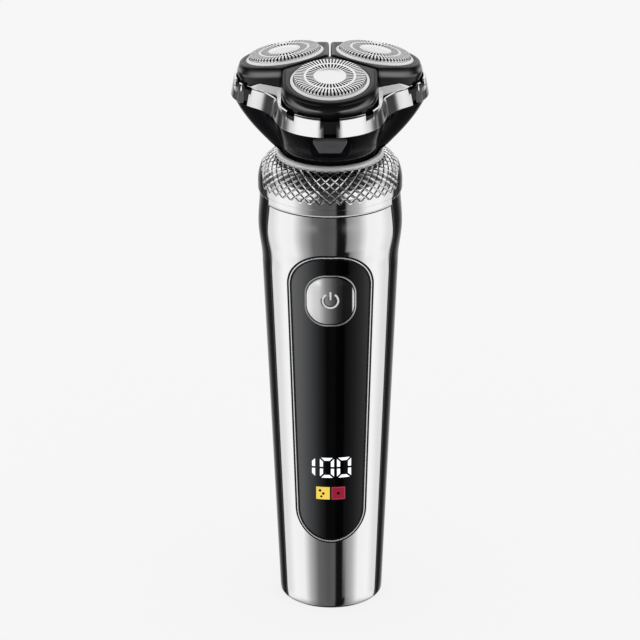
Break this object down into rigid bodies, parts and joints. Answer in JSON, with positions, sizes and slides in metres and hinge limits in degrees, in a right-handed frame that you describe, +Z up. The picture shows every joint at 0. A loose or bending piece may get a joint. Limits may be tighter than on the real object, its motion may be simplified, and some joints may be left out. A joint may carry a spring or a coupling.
{
  "type": "rotary electric shaver",
  "caption": "Cordless rotary electric shaver: tapered handle with display panel and power button, knurled collar and a flip-open head with floating slotted cutters.",
  "frame": {"origin": "centre of the flat foot, on the surface that the shaver stands on", "axes": "+Z up the handle to the head, -Y the side with the display and the power button, +X to the right as seen from that side"},
  "size_m": [0.0578, 0.0558, 0.1748],
  "materials": {
    "polished_silver": "mirror-bright plated plastic",
    "black_gloss": "gloss black moulding",
    "black_matte": "satin black moulding",
    "panel_black": "polished black window",
    "button_silver": "fine brushed and plated",
    "release_grey": "satin dark grey",
    "pod_black": "gloss near-black moulding",
    "ring_grey": "semi-gloss light grey ring",
    "cutter_steel": "fine lapped steel",
    "steel": "plain turned steel",
    "gear_plastic": "natural acetal",
    "inner_plastic": "dark grey moulding",
    "board_green": "green solder mask",
    "board_dark": "dark component body",
    "cell_wrap": "blue shrink sleeve",
    "contact_brass": "bright contact strip",
    "seal_rubber": "black rubber"
  },
  "bodies": {
    "handle": {"front_shell": "polished_silver", "rear_shell": "black_gloss", "base_cap": "black_matte", "knurled_collar": "polished_silver", "neck_ring": "polished_silver", "neck_socket": "black_matte", "neck_seal": "seal_rubber", "display_panel": "panel_black", "panel_trim": "polished_silver", "button_bezel": "polished_silver", "display_module": "board_dark", "main_board": "board_green", "power_switch": "board_dark", "charging_port": "steel", "chassis": "inner_plastic", "board_screws": "steel", "motor_can": "steel", "motor_mount": "inner_plastic", "motor_screws": "steel", "battery_cell": "cell_wrap", "battery_tabs": "contact_brass"},
    "motor_rotor": {"motor_shaft": "steel", "drive_coupling": "gear_plastic"},
    "power_button": {"power_button": "button_silver"},
    "head_base": {"head_housing": "black_gloss", "gear_deck": "black_matte", "spindle_seals": "seal_rubber", "deck_screws": "steel", "hinge_pin": "steel"},
    "release_button": {"release_button": "release_grey"},
    "centre_gear": {"centre_gear": "gear_plastic"},
    "head_frame": {"chrome_band": "polished_silver", "cutter_carrier": "black_matte"},
    "drive_front": {"drive_gear_front": "gear_plastic", "spindle_front": "gear_plastic"},
    "pod_front": {"pod_front": "pod_black", "pod_ring_front": "ring_grey"},
    "cap_front": {"cap_front": "cutter_steel"},
    "cutter_front": {"cutter_front": "cutter_steel"},
    "drive_right": {"drive_gear_right": "gear_plastic", "spindle_right": "gear_plastic"},
    "pod_right": {"pod_right": "pod_black", "pod_ring_right": "ring_grey"},
    "cap_right": {"cap_right": "cutter_steel"},
    "cutter_right": {"cutter_right": "cutter_steel"},
    "drive_left": {"drive_gear_left": "gear_plastic", "spindle_left": "gear_plastic"},
    "pod_left": {"pod_left": "pod_black", "pod_ring_left": "ring_grey"},
    "cap_left": {"cap_left": "cutter_steel"},
    "cutter_left": {"cutter_left": "cutter_steel"}
  },
  "joints": [
    {"name": "motor_spin", "type": "hinge", "parent": "handle", "child": "motor_rotor", "pos_m": [0, 0, 0.132], "axis": [0, 0, 1], "continuous": true},
    {"name": "power_button_press", "type": "slide", "parent": "handle", "child": "power_button", "axis": [0, 1, 0], "range_m": [0, 0.0005], "stiffness_N_per_m": 1500},
    {"name": "head_pull_off", "type": "slide", "parent": "handle", "child": "head_base", "axis": [0, 0, 1], "range_m": [0, 0.012]},
    {"name": "release_button_press", "type": "slide", "parent": "head_base", "child": "release_button", "axis": [0, 0.7705, 0.6374], "range_m": [0, 0.0006], "stiffness_N_per_m": 1500},
    {"name": "centre_gear_spin", "type": "hinge", "parent": "head_base", "child": "centre_gear", "pos_m": [0, 0, 0.15], "axis": [0, 0, 1], "continuous": true},
    {"name": "head_flip_open", "type": "hinge", "parent": "head_base", "child": "head_frame", "pos_m": [0, 0.0234, 0.159], "axis": [-1, 0, 0], "range_deg": [0, 100]},
    {"name": "drive_gear_spin_front", "type": "hinge", "parent": "head_base", "child": "drive_front", "pos_m": [0, -0.0147, 0.157], "axis": [0, 0, 1], "continuous": true},
    {"name": "pod_tilt_front", "type": "hinge", "parent": "head_frame", "child": "pod_front", "pos_m": [0, -0.01465, 0.1677], "axis": [1, 0, 0], "range_deg": [-2.5, 4], "stiffness_Nm_per_rad": 0.1},
    {"name": "cap_float_front", "type": "slide", "parent": "pod_front", "child": "cap_front", "axis": [0, 0.1736, -0.9848], "range_m": [0, 0.0008], "stiffness_N_per_m": 800},
    {"name": "cutter_spin_front", "type": "hinge", "parent": "cap_front", "child": "cutter_front", "pos_m": [0, -0.0156, 0.1731], "axis": [0, -0.1736, 0.9848], "continuous": true},
    {"name": "drive_gear_spin_right", "type": "hinge", "parent": "head_base", "child": "drive_right", "pos_m": [0.01273, 0.00735, 0.157], "axis": [0, 0, 1], "continuous": true},
    {"name": "pod_tilt_right", "type": "hinge", "parent": "head_frame", "child": "pod_right", "pos_m": [0.01269, 0.00732, 0.1677], "axis": [-0.5, 0.866, 0], "range_deg": [-2.5, 4], "stiffness_Nm_per_rad": 0.1},
    {"name": "cap_float_right", "type": "slide", "parent": "pod_right", "child": "cap_right", "axis": [-0.1504, -0.0868, -0.9848], "range_m": [0, 0.0008], "stiffness_N_per_m": 800},
    {"name": "cutter_spin_right", "type": "hinge", "parent": "cap_right", "child": "cutter_right", "pos_m": [0.01351, 0.0078, 0.1731], "axis": [0.1504, 0.0868, 0.9848], "continuous": true},
    {"name": "drive_gear_spin_left", "type": "hinge", "parent": "head_base", "child": "drive_left", "pos_m": [-0.01273, 0.00735, 0.157], "axis": [0, 0, 1], "continuous": true},
    {"name": "pod_tilt_left", "type": "hinge", "parent": "head_frame", "child": "pod_left", "pos_m": [-0.01269, 0.00732, 0.1677], "axis": [-0.5, -0.866, 0], "range_deg": [-2.5, 4], "stiffness_Nm_per_rad": 0.1},
    {"name": "cap_float_left", "type": "slide", "parent": "pod_left", "child": "cap_left", "axis": [0.1504, -0.0868, -0.9848], "range_m": [0, 0.0008], "stiffness_N_per_m": 800},
    {"name": "cutter_spin_left", "type": "hinge", "parent": "cap_left", "child": "cutter_left", "pos_m": [-0.01351, 0.0078, 0.1731], "axis": [-0.1504, 0.0868, 0.9848], "continuous": true}
  ],
  "couplings": [
    {"joint": "centre_gear_spin", "follows": "motor_spin", "ratio": 1},
    {"joint": "drive_gear_spin_front", "follows": "motor_spin", "ratio": -0.63333},
    {"joint": "cutter_spin_front", "follows": "motor_spin", "ratio": -0.63333},
    {"joint": "drive_gear_spin_right", "follows": "motor_spin", "ratio": -0.63333},
    {"joint": "cutter_spin_right", "follows": "motor_spin", "ratio": -0.63333},
    {"joint": "drive_gear_spin_left", "follows": "motor_spin", "ratio": -0.63333},
    {"joint": "cutter_spin_left", "follows": "motor_spin", "ratio": -0.63333}
  ]
}
